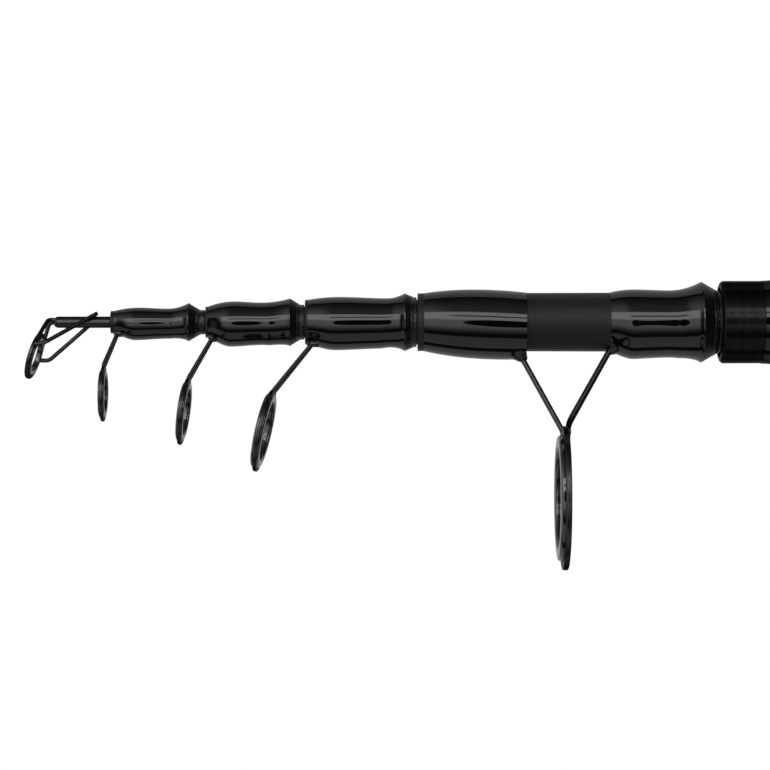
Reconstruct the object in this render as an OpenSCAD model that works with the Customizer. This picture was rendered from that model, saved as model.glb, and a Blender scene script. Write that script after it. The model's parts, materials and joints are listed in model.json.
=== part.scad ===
// Telescopic fishing rod, closed for carrying. Sizes are in millimetres.
// The rod's axis is X, with the tip towards -X and the butt towards +X. The guides hang to -Z.
// The origin is on the axis at the rear end of the rear grip.

/* [Sections] */
// Length of the butt tube, from its mouth to the rear grip's end
butt_len = 522; // [440:1:620]
// Diameter of the tip blank at its front end
tip_od = 2.6; // [2.2:0.1:3.2]
// How far the closed tip stands out of section 2
tip_show = 16.2; // [14:0.1:24]
// How far sections 2, 3, 4 and 5 stand out when closed
section_show = [27.1, 28.4, 32.1, 86.2]; // [24:0.1:110]
// How much the tip blank widens from its front to its lock
tip_growth = 2.3; // [1.6:0.1:3]
// How much sections 2, 3, 4 and 5 widen from their mouths to their locks
section_growth = [1.2, 2.35, 2.1, 3.5]; // [0.8:0.05:5]
// Walls of the tubes of sections 2, 3, 4 and 5
section_wall = [0.72, 0.6, 0.7, 0.8]; // [0.5:0.02:1.2]
// Wall of the butt tube
butt_wall = 1.75; // [1.2:0.05:2.5]
// How much the butt tube widens to its rear end
butt_growth = 1.4; // [1:0.1:3]
// Rounding of the butt tube's mouth
mouth_round = 1.2; // [0.4:0.1:1.6]
// Length of the extended tip that stays inside section 2
tip_lock = 40; // [25:1:70]
// Length of extended sections 2, 3, 4 and 5 that stays inside the next
section_lock = [45, 50, 55, 65]; // [25:1:90]

/* [Wraps] */
// Bare lips in front of the wraps of sections 2, 3, 4 and 5
wrap_lip = [1.1, 0.7, 0.8, 1.8]; // [0.5:0.1:3]
// Thin tails of those wraps, from their cones to the next mouths
wrap_tail_len = [1.5, 1.4, 1, 0.6]; // [0.5:0.1:3]
// Distances from each of those wraps' front edges to its full barrel
wrap_barrel_at = [7, 7.5, 9, 6.5]; // [4:0.1:11]
// Heights of the barrels over the blanks
wrap_barrel = [0.92, 1.44, 0.82, 0.86]; // [0.5:0.02:2]
// Heights of the waists over the blanks
wrap_waist = [0.62, 1.09, 0.42, 0.58]; // [0.4:0.02:1.6]
// Heights of the ridges over the blanks
wrap_ridge = [2.2, 2.3, 1.8, 3]; // [1:0.02:3.5]
// Heights of the tails over the blanks
wrap_tail = [0.2, 0.45, 0.65, 0.3]; // [0.1:0.01:0.9]
// Lengths from the waists to the ridges
wrap_rise = [6, 8.2, 5.1, 9]; // [4:0.1:10]
// Lengths of the cones behind the ridges
wrap_cone = [3.3, 2.9, 2.6, 4.6]; // [2:0.1:6]
// How far the guide feet swell the wraps downwards
wrap_swell = [0.75, 0.82, 0.6, 0.9]; // [0.5:0.05:1.2]
// Height of section 5's front wrap over the blank
front_wrap_barrel = 1; // [0.5:0.05:1.6]
// How far the guide foot swells section 5's front wrap downwards
front_wrap_swell = 1.15; // [0.6:0.05:1.4]
// Distance from the butt's mouth to the butt wrap
butt_wrap_at = 12; // [8:0.5:30]
// Length of the butt wrap
butt_wrap_len = 40; // [20:1:70]
// Height of the butt wrap over the blank
butt_wrap_build = 0.55; // [0.2:0.05:1.2]

/* [Guides] */
// Hoop radii of the guides on sections 2, 3, 4 and 5
guide_r = [7.9, 9.5, 11.8, 20.1]; // [6.5:0.1:22]
// Distances from the rod's axis to those hoops' centres
guide_drop = [22, 27.4, 33.2, 53.4]; // [20:0.1:62]
// Distances that the hoops of sections 2, 3 and 4 stand ahead of their mouths
guide_lead = [1.4, 5.5, 11.2]; // [1:0.1:15]
// Angles that the hoops of sections 2, 3 and 4 lean forward at the bottom
guide_tilt = [1, 8, 13.5]; // [0:0.5:18]
// Wire diameters of the guides on sections 2, 3, 4 and 5
guide_wire = [0.9, 0.95, 1, 1.55]; // [0.9:0.05:1.8]
// Widths of the hoops along the line
hoop_w = [0.9, 0.95, 1, 1.6]; // [0.9:0.05:2.4]
// Radial thicknesses of the hoops
hoop_t = [1.1, 1.15, 1.15, 2.5]; // [0.8:0.05:3]
// Radial thickness of the ceramic rings of sections 2, 3, 4 and 5
ring_t = [1.5, 1.75, 2.25, 3.55]; // [1.2:0.05:4]
// Widths of those ceramic rings along the line
ring_w = [1.8, 2, 2.4, 3.1]; // [1.2:0.1:5]
// How far those ceramic rings stand forward in their hoops
ring_set = [0.1, 0.1, 0.2, 0.55]; // [0:0.05:1]
// Distance between a guide's two arms where they meet the hoop
arm_spread = 2.6; // [1.6:0.1:5]
// Distance from the mouths of sections 2, 3 and 4 back to their guides' roots
guide_root = 1.9; // [1.5:0.1:3]
// Width of a guide foot
foot_w = 2.6; // [2.4:0.1:3.4]
// Thickness of a guide foot at its root
foot_t = 0.9; // [0.6:0.05:1.1]
// Length of a guide foot under its wrap
foot_len = 13; // [8:0.5:16]
// Distance from section 5's mouth to its guide's front root
two_leg_at = 28.6; // [22:0.1:34]
// Distance between the two-leg guide's roots
two_leg_span = 25.9; // [22:0.1:28]
// Share of that span at which the two-leg guide's hoop stands
two_leg_hoop = 0.475; // [0.35:0.01:0.65]

/* [Tip-top] */
// Wall of the tip-top's tube
tip_tube_wall = 0.3; // [0.2:0.01:0.5]
// Hoop radius of the tip-top
tip_hoop_r = 6.8; // [5:0.1:8]
// Distance from the tube's front end forward to the hoop's centre
tip_hoop_lead = 5.1; // [4:0.1:7]
// Distance from the rod's axis down to the hoop's centre
tip_hoop_drop = 10.4; // [9.5:0.1:14]
// Angle that the tip-top's hoop leans forward at the bottom
tip_hoop_tilt = 18; // [8:0.5:24]
// Radial thickness of the tip-top's hoop
tip_hoop_t = 1.3; // [0.8:0.05:1.6]
// Width of the tip-top's hoop along the line
tip_hoop_w = 1.1; // [0.9:0.1:2]
// Radial thickness of the tip-top's ceramic ring
tip_ring_t = 1.3; // [1:0.05:2.2]
// Width of the tip-top's ceramic ring along the line
tip_ring_w = 1.7; // [1.2:0.1:3]
// Wire diameter of the tip-top
tip_wire = 1.2; // [0.8:0.05:1.3]
// Distance from the tube's front end back to the legs' ends
tip_leg_reach = 12.3; // [9:0.1:13]

/* [Handle] */
// Length of the rear grip
rear_grip_len = 200; // [150:1:240]
// Diameter of the rear grip
rear_grip_d = 30; // [29:0.5:36]
// Rounding of the grips' edges beside the reel seat
grip_round = 2; // [0.5:0.1:3]
// Length of the ring in front of the rear grip
rear_check_len = 5; // [3:0.5:8]
// Length of the reel seat
seat_len = 118; // [112:1:140]
// Diameter of the reel seat's barrel
seat_d = 28; // [27:0.5:32]
// Length of the foregrip
foregrip_len = 52; // [40:1:80]
// Diameter of the foregrip at its rear end
foregrip_d = 30; // [29:0.5:36]
// Diameter of the foregrip at its front end
foregrip_front_d = 26.6; // [26:0.1:29]
// Length of the winding check in front of the foregrip
front_check_len = 7; // [4:0.5:10]

/* [Reel seat] */
// Length of each hood
hood_len = 24; // [20:0.5:28]
// Wall of a hood
hood_wall = 2.2; // [1.6:0.1:3]
// Width of the pocket for the reel's foot
pocket_w = 17.6; // [15:0.1:19]
// Height of the pocket for the reel's foot
pocket_h = 5.6; // [5:0.1:7]
// Depth of the pocket
pocket_depth = 12; // [8:0.5:15]
// Length of the lock nut
nut_len = 13; // [9:0.5:16]
// Radial thickness of the lock nut
nut_wall = 2.7; // [2.2:0.1:4]
// Number of grip flutes around the lock nut
nut_flutes = 18; // [12:1:24]
// Width of the key groove along the barrel
key_w = 5; // [3:0.1:7]
// Depth of the key groove
key_depth = 0.8; // [0.5:0.05:1]

/* [Butt cap] */
// Wall of the ferrule's sleeve under the grip
ferrule_wall = 0.9; // [0.6:0.05:1.2]
// Length of the ferrule's sleeve under the grip
ferrule_sleeve = 18; // [10:0.5:30]
// Length of the ferrule's flange
flange_len = 6; // [4:0.5:10]
// Diameter of the flange, the plug's head and the bumper
cap_d = 28.8; // [28.4:0.1:29]
// Length of the plug's head
plug_head_len = 7; // [5:0.5:12]
// Length of the plug that stands inside the butt tube
plug_inner_len = 2; // [1:0.5:5]
// Section diameter of the seal ring
seal_d = 1.5; // [1:0.1:2]
// Length of the bumper behind the plug's head
bumper_len = 8.5; // [6:0.5:14]
// Thickness of the damper pad
damper_t = 3; // [2:0.5:6]

/* [Fits] */
// Radial gap between a locked blank and the mouth around it
seat_gap = 0.04; // [0.03:0.01:0.1]
// Gap that the glue fills between fixed pieces
glue = 0.03; // [0.02:0.01:0.06]
// Radial gap in the screw threads
thread_gap = 0.08; // [0.05:0.01:0.1]
// Gap between moving pieces that meet face to face
rest_gap = 0.3; // [0.2:0.05:0.6]

/* [Hidden] */
$fn = 64;
// Corners of a wrap's outline, sides of a wire, and steps in a bend or a swelling
wrap_sides = 36;
wire_sides = 12;
steps = 6;
// Steps of a wrap's outline beside a guide's root
root_steps = 10;
// Room that a cut runs past the face it opens
over = 1;
// Shares of a wrap's length in which its swelling rises and by which it ends, and its height on the way
swell_rise = 0.055;
swell_end = 0.95;
swell_left = 0.6;
// How far a wrap's finish runs down a leg and is drawn in round its root, in wire diameters
run_len = 1.2;
run_reach = 2;
// How much closer the points of a wrap's outline stand at its underside, in degrees
gather = 24;
// How square a ceramic ring's section is: 1 is an ellipse and 0 a rectangle
ring_round = 0.45;
// Distance outside a hoop at which its arms bend
arm_bend = 0.3;

matte_black = "#26282b";
gloss_black = "#141517";
gunmetal = "#34363a";
ceramic_black = "#0e0f10";
foam_black = "#2b2b2c";
rubber_black = "#1c1c1c";

// The sections count from the tip, 0, to the butt, which is the last
butt = len(section_show) + 1;
shows = concat(tip_show, section_show);
growths = concat(tip_growth, section_growth, butt_growth);
walls = concat(0, section_wall, butt_wall);
locks = concat(tip_lock, section_lock);

// Closed sections end at this X, just in front of the damper pad
rest_x = -plug_inner_len - damper_t - rest_gap;

function front_x(i) = i == butt ? -butt_len : front_x(i + 1) - shows[i];
function mouth_r(i) = blank_r(i - 1, 0) + growths[i - 1] / 2 + seat_gap;
function travel(i) = rest_x - front_x(i + 1) - locks[i];
function taper(i) = i == butt ? growths[i] / 2 / butt_len : growths[i] / 2 / (travel(i) + shows[i]);
function front_r(i) = i == 0 ? tip_od / 2 : mouth_r(i) + walls[i];
function blank_len(i) = (i == butt ? 0 : rest_x) - front_x(i);
// Outside radius of a blank at a distance from its front
function blank_r(i, at) = front_r(i) + taper(i) * at;

// Eases between the stations of an outline: swell out, blend, rise to an edge, run straight
swell = function (t) 1 - (1 - t) * (1 - t);
blend = function (t) t * t * (3 - 2 * t);
climb = function (t) t * t;
straight = function (t) t;

// Points [distance, height] along stations [distance, height, ease to the next, steps on the way]
function outline(stations) = concat(
  [for (i = [0 : len(stations) - 2])
    let (a = stations[i], b = stations[i + 1], n = a[2] == straight ? 1 : is_undef(a[3]) ? steps : a[3])
    for (k = [0 : n - 1])
      [a[0] + (b[0] - a[0]) * k / n, a[1] + (b[1] - a[1]) * a[2](k / n)]],
  [[stations[len(stations) - 1][0], stations[len(stations) - 1][1]]]
);

// Faces along the sides of m rings of n points each
function skin(m, n) = [
  for (j = [0 : m - 2], k = [0 : n - 1])
    let (a = j * n + k, b = j * n + (k + 1) % n)
    each [[a, a + n, b], [b, a + n, b + n]]
];

// Faces over m rings of n points each, with flat ends
function lattice(m, n) = concat(
  [[for (k = [0 : n - 1]) k], [for (k = [n - 1 : -1 : 0]) (m - 1) * n + k]],
  skin(m, n)
);

// Faces over m rings of n points each, with ends that meet in the two points after them
function closed_skin(m, n) = concat(
  [for (k = [0 : n - 1]) each [
    [m * n, k, (k + 1) % n],
    [m * n + 1, (m - 1) * n + (k + 1) % n, (m - 1) * n + k]
  ]],
  skin(m, n)
);

function unit(v) = v / norm(v);
function heading(path, i) = unit(path[min(i + 1, len(path) - 1)] - path[max(i - 1, 0)]);

// A path from a to b that turns a rounded corner at c
function bent(a, c, b, reach) =
  let (p = c + unit(a - c) * reach, q = c + unit(b - c) * reach)
  concat(
    [a],
    [for (k = [0 : steps]) let (t = k / steps) (1 - t) * (1 - t) * p + 2 * t * (1 - t) * c + t * t * q],
    [b]
  );

// A point on a hoop, at an angle from its top and a distance from its centre
function on_hoop(centre, tilt, r, angle) =
  centre + r * [cos(angle) * sin(tilt), sin(angle), cos(angle) * cos(tilt)];

// A solid turned about the rod's axis from points [radius, x]
module turned(points) {
  rotate([0, 90, 0])
    rotate_extrude()
      polygon(points);
}

// A flat outline in Y and Z, drawn out along X
module drawn(x, length) {
  translate([x, 0, 0])
    rotate([90, 0, 90])
      linear_extrude(length)
        children();
}

// A bent wire
module wire(path, d) {
  points = [
    for (i = [0 : len(path) - 1])
      let (t = heading(path, i), u = unit(cross([0, 1, 0], t)), v = cross(t, u))
      for (k = [0 : wire_sides - 1])
        let (a = 360 * k / wire_sides)
        path[i] + d / 2 * (u * cos(a) + v * sin(a))
  ];
  polyhedron(points, lattice(len(path), wire_sides));
}

// A tube of the telescope, with a mouth ground to the taper of the blank that locks in it
module tube(i) {
  x = front_x(i);
  seat = locks[i - 1];
  rear = blank_len(i);
  rear_r = blank_r(i, rear);
  edge = i == butt ? mouth_round : walls[i] / 4;
  lip = [for (k = [0 : steps])
    let (a = 90 * k / steps)
    [front_r(i) - edge + edge * sin(a), x + edge - edge * cos(a)]];
  turned(concat(
    [[mouth_r(i), x]],
    lip,
    [[rear_r, x + rear],
     [rear_r - walls[i], x + rear],
     [mouth_r(i) + taper(i - 1) * seat, x + seat]]
  ));
}

// The room that a blank and its glue take inside a wrap or a grip
module blank_room(i) {
  x = front_x(i);
  turned([
    [0, x],
    [front_r(i) + glue, x],
    [blank_r(i, blank_len(i)) + glue, x + blank_len(i)],
    [0, x + blank_len(i)]
  ]);
}

// A glossy wrap on section i: outline heights stand over the blank, swells hang it to one side,
// and near a guide's root the finish runs down the leg, which has diameter d
module wrap_body(i, points, swells, root, leg, d) {
  x = front_x(i);
  rings = [for (k = [0 : len(points) - 1])
    let (at = points[k][0])
    [x + at, blank_r(i, at) + points[k][1] + swells[k], swells[k]]];
  function run_down(p) =
    let (near = max(0, 1 - pow(norm(p - root - leg * d / 2) / run_reach / d, 2)))
    p + leg * run_len * d * near * near;
  polyhedron(
    concat(
      [for (g = rings, k = [0 : wrap_sides - 1])
        let (turn = 360 * k / wrap_sides, a = turn - gather * sin(turn))
        run_down([g[0], g[1] * sin(a), -g[1] * cos(a) - g[2]])],
      [for (g = [rings[0], rings[len(rings) - 1]]) [g[0], 0, 0]]
    ),
    closed_skin(len(rings), wrap_sides)
  );
}

// A wrap that starts at a distance from the mouth and ends in a ridge and a cone
module ridged_wrap(i, start, root, leg) {
  j = i - 1;
  end = shows[i] - rest_gap;
  tail = shows[i] - wrap_tail_len[j];
  ridge = tail - wrap_cone[j];
  waist = ridge - wrap_rise[j];
  points = outline([
    [start, 2 * glue, swell, root_steps],
    [start + wrap_barrel_at[j], wrap_barrel[j], blend],
    [waist, wrap_waist[j], climb],
    [ridge, wrap_ridge[j], straight],
    [tail, wrap_tail[j], straight],
    [end, wrap_tail[j]]
  ]);
  // The swell is full over the root, sinks along the foot and ends before the ridge
  function swell_at(u) = max(0, min(
    u / swell_rise,
    swell_left + (1 - swell_left) * pow(1 - u, 4),
    3 * (swell_end - u)
  ));
  swells = [for (p = points) wrap_swell[j] * swell_at((p[0] - start) / (ridge - start))];
  wrap_body(i, points, swells, root, leg, guide_wire[j]);
}

// A guide foot from its root to its thin end, under a blank of radius r
module foot(root, end, r, extra) {
  mid = root + (end - root) / 4;
  rotate([90, 0, 0])
    linear_extrude(foot_w + 2 * extra, center = true)
      polygon([
        [root, -r],
        [end, -r],
        [end, -r - foot_t / 3 - extra],
        [mid, -r - foot_t - extra],
        [root, -r - foot_t - extra]
      ]);
}

// The band of a guide that holds the ceramic ring
module hoop(centre, tilt, r, t, w) {
  c = w / 5;
  translate(centre)
    rotate([0, tilt, 0])
      turned([
        [r - t, -w / 2],
        [r - c, -w / 2],
        [r, c - w / 2],
        [r, w / 2 - c],
        [r - c, w / 2],
        [r - t, w / 2]
      ]);
}

// A ceramic ring with rounded faces, set in a hoop whose inside radius is r
module ceramic_ring(centre, tilt, r, t, w, set) {
  sides = 24;
  mid = r - glue - t / 2;
  translate(centre)
    rotate([0, tilt, 0])
      turned([for (k = [0 : sides - 1])
        let (c = cos(360 * k / sides), s = sin(360 * k / sides))
        [mid + t / 2 * sign(c) * pow(abs(c), ring_round), w / 2 * sign(s) * pow(abs(s), ring_round) - set]]);
}

function guide_centre(i) = [front_x(i) - guide_lead[i - 1], 0, -guide_drop[i - 1]];
function foot_r(i, at) = blank_r(i, at) + glue;

// Where a single-leg guide's arms leave its foot, and where they bend, at an angle from the hoop's top
function single_root(i) =
  [front_x(i) + guide_root, 0, guide_wire[i - 1] / 3 - foot_t - foot_r(i, foot_len)];
function arm_corner(i, angle) =
  on_hoop(guide_centre(i), guide_tilt[i - 1], guide_r[i - 1] + arm_bend, angle);

// The foot and arms of a single-leg guide, with extra room all round when it is a cut
module single_leg(i, extra) {
  j = i - 1;
  root = single_root(i);
  mid = guide_r[j] - hoop_t[j] / 2;
  foot(root[0] - guide_wire[j] / 2, root[0] + foot_len, foot_r(i, foot_len), extra);
  for (side = [-1, 1]) {
    angle = side * asin(arm_spread / 2 / mid);
    wire(bent(
      root + [0, side * (foot_w - guide_wire[j]) / 2, 0],
      arm_corner(i, angle),
      on_hoop(guide_centre(i), guide_tilt[j], mid, angle),
      guide_wire[j] / 2), guide_wire[j] + 2 * extra);
  }
}

module single_leg_frame(i) {
  j = i - 1;
  color(gunmetal) {
    single_leg(i, 0);
    hoop(guide_centre(i), guide_tilt[j], guide_r[j], hoop_t[j], hoop_w[j]);
  }
}

module single_leg_ring(i) {
  j = i - 1;
  color(ceramic_black)
    ceramic_ring(guide_centre(i), guide_tilt[j], guide_r[j] - hoop_t[j], ring_t[j], ring_w[j], ring_set[j]);
}

module single_leg_wrap(i) {
  color(gloss_black)
    difference() {
      ridged_wrap(i, wrap_lip[i - 1], single_root(i), unit(arm_corner(i, 0) - single_root(i)));
      blank_room(i);
      single_leg(i, glue);
    }
}

// Tip
tip_x = front_x(0);
tip_tube_r = tip_od / 2 + glue + tip_tube_wall;
tip_tube_len = tip_show - rest_gap;
tip_tube_cap = 1.6;
tip_centre = [tip_x - tip_hoop_lead, 0, -tip_hoop_drop];

module tip_blank() {
  rear = blank_len(0);
  color(matte_black)
    turned([
      [0, tip_x + tip_tube_cap + glue],
      [tip_od / 2, tip_x + tip_tube_cap + glue],
      [blank_r(0, rear), tip_x + rear],
      [0, tip_x + rear]
    ]);
}

// The front wires stand side by side in the tube's nose, bend in front of it and run down into the hoop
module tip_front_wires(extra) {
  stub_y = 0.72 * tip_wire;
  stub_z = tip_wire / 4;
  stub_in = tip_tube_cap * 0.6;
  stub_out = 1.3 * tip_wire;
  // Angle from the hoop's top at which they meet it
  shoulder = 50;
  for (side = [-1, 1])
    wire(concat(
      [[tip_x + stub_in + extra, side * stub_y, stub_z]],
      bent(
        [tip_x, side * stub_y, stub_z],
        [tip_x - stub_out, side * 1.1 * tip_wire, stub_z],
        on_hoop(tip_centre, tip_hoop_tilt, tip_hoop_r - tip_hoop_t / 2, side * shoulder),
        tip_wire)
    ), tip_wire + 2 * extra);
}

module tip_guide_tube() {
  bore = blank_r(0, tip_tube_len) + glue;
  nose = outline([
    [tip_x, tip_tube_r * 0.6, swell],
    [tip_x + tip_tube_cap * 0.75, tip_tube_r]
  ]);
  color(gunmetal)
    difference() {
      turned(concat(
        [[0, tip_x]],
        [for (p = nose) [p[1], p[0]]],
        [[tip_tube_r, tip_x + tip_tube_len],
         [bore, tip_x + tip_tube_len],
         [bore, tip_x + tip_tube_cap],
         [0, tip_x + tip_tube_cap]]
      ));
      tip_front_wires(glue);
    }
}

module tip_guide_frame() {
  mid = tip_hoop_r - tip_hoop_t / 2;
  // Angle from the hoop's top at which the legs meet it
  flank = 79;
  // The legs run out of the hoop, bend, and pass the tube's side to end at an angle above it
  leg_out = 2.4 * tip_wire;
  leg_angle = 52;
  leg_past = 30;
  leg_r = (tip_tube_r + tip_wire / 2 + glue) / cos(leg_past);
  color(gunmetal) {
    hoop(tip_centre, tip_hoop_tilt, tip_hoop_r, tip_hoop_t, tip_hoop_w);
    tip_front_wires(0);
    for (side = [-1, 1])
      wire(bent(
        on_hoop(tip_centre, tip_hoop_tilt, mid, side * flank),
        on_hoop(tip_centre, tip_hoop_tilt, mid + tip_wire / 2, side * flank) + [leg_out, 0, 0],
        [tip_x + tip_leg_reach, side * leg_r * cos(leg_angle), leg_r * sin(leg_angle)],
        tip_wire), tip_wire);
  }
}

module tip_guide_ring() {
  color(ceramic_black)
    ceramic_ring(tip_centre, tip_hoop_tilt, tip_hoop_r - tip_hoop_t, tip_ring_t, tip_ring_w, 0);
}

// Sections 2, 3 and 4
module section2_blank() {
  color(matte_black)
    tube(1);
}

module section2_wrap() {
  single_leg_wrap(1);
}

module section2_guide_frame() {
  single_leg_frame(1);
}

module section2_guide_ring() {
  single_leg_ring(1);
}

module section3_blank() {
  color(matte_black)
    tube(2);
}

module section3_wrap() {
  single_leg_wrap(2);
}

module section3_guide_frame() {
  single_leg_frame(2);
}

module section3_guide_ring() {
  single_leg_ring(2);
}

module section4_blank() {
  color(matte_black)
    tube(3);
}

module section4_wrap() {
  single_leg_wrap(3);
}

module section4_guide_frame() {
  single_leg_frame(3);
}

module section4_guide_ring() {
  single_leg_ring(3);
}

// Section 5
five = butt - 1;
five_x = front_x(five);
five_wire = guide_wire[3];
five_rear_at = two_leg_at + two_leg_span;
five_centre = [five_x + two_leg_at + two_leg_hoop * two_leg_span, 0, -guide_drop[3]];
// How far the front wrap runs past the front root
wrap_past_root = 1.5 * five_wire;
five_foot_r = foot_r(five, five_rear_at + foot_len);
five_front_root = [five_x + two_leg_at, 0, -five_foot_r - foot_t / 2];
five_rear_root = five_front_root + [two_leg_span, 0, 0];
// The front leg ends on the hoop's top, and the rear wires bend behind it to run down its back
five_top = on_hoop(five_centre, 0, guide_r[3] - hoop_t[3] / 2, 0);
five_apex = five_top + [-five_wire / 4, 0, hoop_t[3] / 2 + arm_bend];
five_back_r = guide_r[3] - hoop_t[3] + five_wire / 2 + 2 * glue;
function five_back(out, angle) = on_hoop(five_centre + [out, 0, 0], 0, five_back_r, angle);
five_out = 0.6 * five_wire;
five_turn = five_back(five_out, 0) + [0, 0, 1.2 * five_wire];

// The front foot and leg of the two-leg guide, with extra room all round when it is a cut
module front_leg(extra) {
  foot(five_front_root[0], five_front_root[0] - foot_len, five_foot_r, extra);
  wire(bent(five_front_root, five_apex, five_top, five_wire / 2), five_wire + 2 * extra);
}

// Its rear foot and two wires
module rear_legs(extra) {
  // Angles from the hoop's top between which the wires sink into its back
  lands = 14;
  sinks = 54;
  foot(five_rear_root[0], five_rear_root[0] + foot_len, five_foot_r, extra);
  for (side = [-1, 1])
    wire(concat(
      bent(
        five_rear_root + [0, side * (foot_w - five_wire) / 2, 0],
        five_turn + [0, side * arm_spread / 2, 0],
        five_back(five_out, side * lands),
        2 * five_wire),
      [for (k = [1 : steps])
        five_back(five_out * (1 - k / steps), side * (lands + (sinks - lands) * k / steps))]
    ), five_wire + 2 * extra);
}

module section5_blank() {
  color(matte_black)
    tube(five);
}

module section5_front_wrap() {
  start = wrap_lip[3];
  end = two_leg_at + wrap_past_root;
  points = outline([
    [start, 2 * glue, swell],
    [(start + end) / 2, front_wrap_barrel, climb, root_steps],
    [end, 2 * glue]
  ]);
  swells = [for (p = points) front_wrap_swell * (p[0] - start) / (end - start)];
  color(gloss_black)
    difference() {
      wrap_body(five, points, swells, five_front_root, unit(five_apex - five_front_root), five_wire);
      blank_room(five);
      front_leg(glue);
    }
}

module section5_rear_wrap() {
  color(gloss_black)
    difference() {
      ridged_wrap(five, five_rear_at + five_wire / 5, five_rear_root, unit(five_turn - five_rear_root));
      blank_room(five);
      rear_legs(glue);
    }
}

module section5_guide_frame() {
  color(gunmetal) {
    front_leg(0);
    rear_legs(0);
    hoop(five_centre, 0, guide_r[3], hoop_t[3], hoop_w[3]);
  }
}

module section5_guide_ring() {
  color(ceramic_black)
    ceramic_ring(five_centre, 0, guide_r[3] - hoop_t[3], ring_t[3], ring_w[3], ring_set[3]);
}

// Butt and handle
butt_x = front_x(butt);
rear_check_x = -rear_grip_len - rear_check_len;
seat_rear_x = rear_check_x;
seat_x = seat_rear_x - seat_len;
foregrip_x = seat_x - foregrip_len;
front_check_x = foregrip_x - front_check_len;
seat_r = seat_d / 2;
nut_x = seat_x + rest_gap;
hood_x = nut_x + nut_len + rest_gap;
cap_r = cap_d / 2;

function butt_r(x) = blank_r(butt, x - butt_x);

module butt_blank() {
  color(gloss_black)
    tube(butt);
}

module butt_wrap() {
  x = butt_x + butt_wrap_at;
  ramp = butt_wrap_len / 6;
  points = outline([
    [0, 2 * glue, blend],
    [ramp, butt_wrap_build, straight],
    [butt_wrap_len - ramp, butt_wrap_build, blend],
    [butt_wrap_len, 2 * glue]
  ]);
  color(gloss_black)
    difference() {
      turned(concat(
        [[0, x]],
        [for (p = points) [butt_r(x + p[0]) + p[1], x + p[0]]],
        [[0, x + butt_wrap_len]]
      ));
      blank_room(butt);
    }
}

module front_check() {
  points = outline([
    [0, butt_r(front_check_x) + 3 * glue, swell],
    [front_check_len, foregrip_front_d / 2]
  ]);
  color(gunmetal)
    difference() {
      turned(concat(
        [[0, front_check_x]],
        [for (p = points) [p[1], front_check_x + p[0]]],
        [[0, foregrip_x - glue]]
      ));
      blank_room(butt);
    }
}

module foregrip() {
  // Share of the length over which the grip thickens
  flare = 0.7;
  points = outline([
    [0, foregrip_front_d / 2, blend],
    [foregrip_len * flare, foregrip_d / 2, straight],
    [foregrip_len - grip_round, foregrip_d / 2, climb],
    [foregrip_len, foregrip_d / 2 - grip_round / 2]
  ]);
  color(foam_black)
    difference() {
      turned(concat(
        [[0, foregrip_x]],
        [for (p = points) [p[1], foregrip_x + p[0]]],
        [[0, seat_x]]
      ));
      blank_room(butt);
    }
}

module seat_barrel() {
  groove_len = seat_len - hood_len - over;
  color(matte_black)
    difference() {
      turned([
        [0, seat_x + glue],
        [seat_r, seat_x + glue],
        [seat_r, seat_rear_x - glue],
        [0, seat_rear_x - glue]
      ]);
      blank_room(butt);
      translate([seat_x - over, -key_w / 2, seat_r - key_depth])
        cube([groove_len, key_w, key_depth + over]);
    }
}

// A hood over the reel's foot: its pocket opens at x = hood_len
module hood(bore) {
  roof_r = seat_r + pocket_h;
  collar_r = seat_r + hood_wall;
  pocket_round = 1.5;
  corner = hood_wall + pocket_round;
  collar_len = 1;
  tall = hood_len / 2;
  corner_y = pocket_w / 2 + hood_wall - corner;
  corner_z = corner - hood_wall - sqrt(roof_r * roof_r - corner_y * corner_y);
  difference() {
    hull() {
      drawn(0, collar_len)
        circle(collar_r);
      drawn(tall, hood_len - tall) {
        circle(collar_r);
        for (side = [-1, 1])
          translate([side * corner_y, corner_z])
            circle(corner, $fn = 32);
        translate([0, corner - roof_r - hood_wall])
          circle(corner, $fn = 32);
      }
    }
    drawn(-over, hood_len + 2 * over)
      circle(bore);
    drawn(hood_len - pocket_depth, pocket_depth + over)
      intersection() {
        circle(roof_r);
        translate([-pocket_w / 2, -roof_r - over])
          square([pocket_w, roof_r + over]);
      }
  }
}

module fixed_hood() {
  color(gunmetal)
    translate([seat_rear_x - glue, 0, 0])
      mirror([1, 0, 0])
        hood(seat_r + glue);
}

module sliding_hood() {
  key_gap = rest_gap / 2;
  color(gunmetal)
    translate([hood_x, 0, 0]) {
      hood(seat_r + thread_gap);
      translate([0, key_gap - key_w / 2, seat_r - key_depth + key_gap])
        cube([hood_len - pocket_depth, key_w - 2 * key_gap, key_depth + hood_wall / 2]);
    }
}

module lock_nut() {
  r = seat_r + nut_wall;
  c = nut_wall / 4;
  flute = r * sin(90 / nut_flutes);
  color(gunmetal)
    difference() {
      turned([
        [seat_r + thread_gap, nut_x],
        [r - c, nut_x],
        [r, nut_x + c],
        [r, nut_x + nut_len - c],
        [r - c, nut_x + nut_len],
        [seat_r + thread_gap, nut_x + nut_len]
      ]);
      for (k = [0 : nut_flutes - 1])
        rotate([360 * k / nut_flutes, 0, 0])
          translate([nut_x - over, 0, r + flute / 2])
            rotate([0, 90, 0])
              cylinder(h = nut_len + 2 * over, r = flute);
    }
}

module rear_check() {
  r = rear_grip_d / 2;
  color(gunmetal)
    difference() {
      turned([
        [0, rear_check_x],
        [r - glue, rear_check_x],
        [r + hood_wall / 3, rear_check_x + rear_check_len / 3],
        [r + hood_wall / 3, rear_check_x + rear_check_len * 2 / 3],
        [r - glue, rear_check_x + rear_check_len - glue],
        [0, rear_check_x + rear_check_len - glue]
      ]);
      blank_room(butt);
    }
}

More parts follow.
